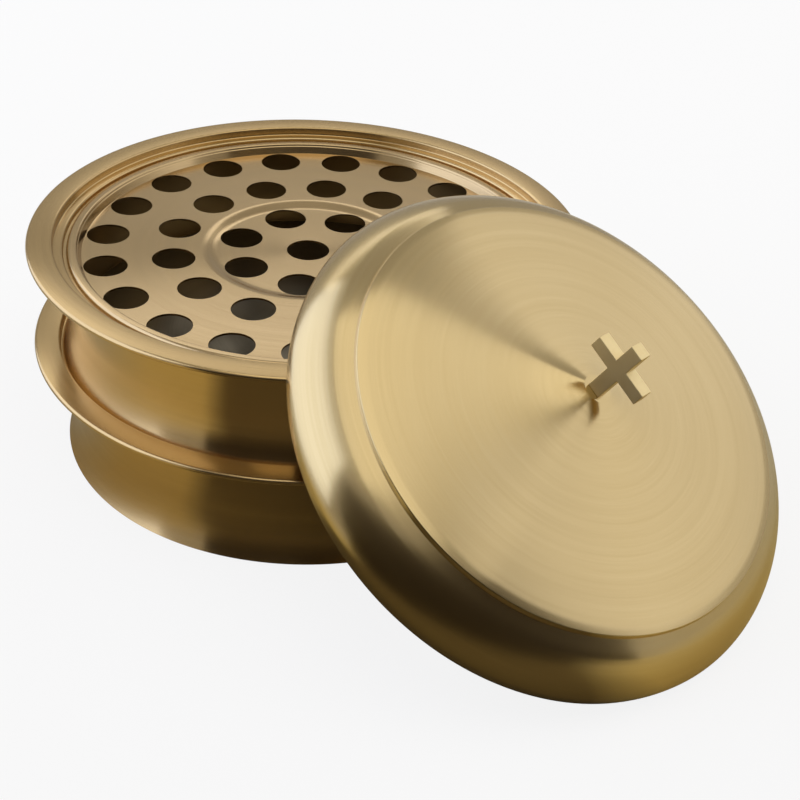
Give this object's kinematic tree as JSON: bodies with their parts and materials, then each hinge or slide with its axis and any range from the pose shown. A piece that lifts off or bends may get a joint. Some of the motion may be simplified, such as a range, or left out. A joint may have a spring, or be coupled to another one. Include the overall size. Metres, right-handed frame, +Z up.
{
  "type": "communion cup tray set",
  "caption": "Stacked round brass communion trays with lift-out pierced cup plates, and a domed lid with a cross that leans on the stack.",
  "frame": {"origin": "middle of the lower tray's underside, on the axis of the stack", "axes": "+Z up along the stack's axis; the lid leans on the side between +X and -Y"},
  "size_m": [0.4096, 0.4193, 0.1722],
  "materials": {
    "tray_brass": "satin, brushed round the axis, antique gold tone",
    "plate_brass": "fine satin, brushed round the axis",
    "lid_brass": "satin, brushed round the axis, pale gold tone",
    "cross_brass": "smooth satin",
    "fixing_brass": "plain machined"
  },
  "bodies": {
    "lower_tray": {"lower_dish": "tray_brass", "lower_base": "tray_brass"},
    "lower_plate": {"lower_cup_plate": "plate_brass"},
    "upper_tray": {"upper_dish": "tray_brass", "upper_base": "tray_brass"},
    "upper_plate": {"upper_cup_plate": "plate_brass"},
    "lid": {"lid_shell": "lid_brass", "cross": "cross_brass", "cross_stud": "fixing_brass", "lid_washer": "fixing_brass", "lid_nut": "fixing_brass"}
  },
  "joints": [
    {"name": "lower_plate_lift", "type": "slide", "parent": "lower_tray", "child": "lower_plate", "axis": [0, 0, 1], "range_m": [0, 0.08]},
    {"name": "upper_tray_lift", "type": "slide", "parent": "lower_plate", "child": "upper_tray", "axis": [0, 0, 1], "range_m": [0, 0.08]},
    {"name": "upper_plate_lift", "type": "slide", "parent": "upper_tray", "child": "upper_plate", "axis": [0, 0, 1], "range_m": [0, 0.08]},
    {"name": "lid_lift", "type": "slide", "parent": "upper_plate", "child": "lid", "axis": [0.379, -0.4151, 0.8271], "range_m": [0, 0.12]}
  ]
}
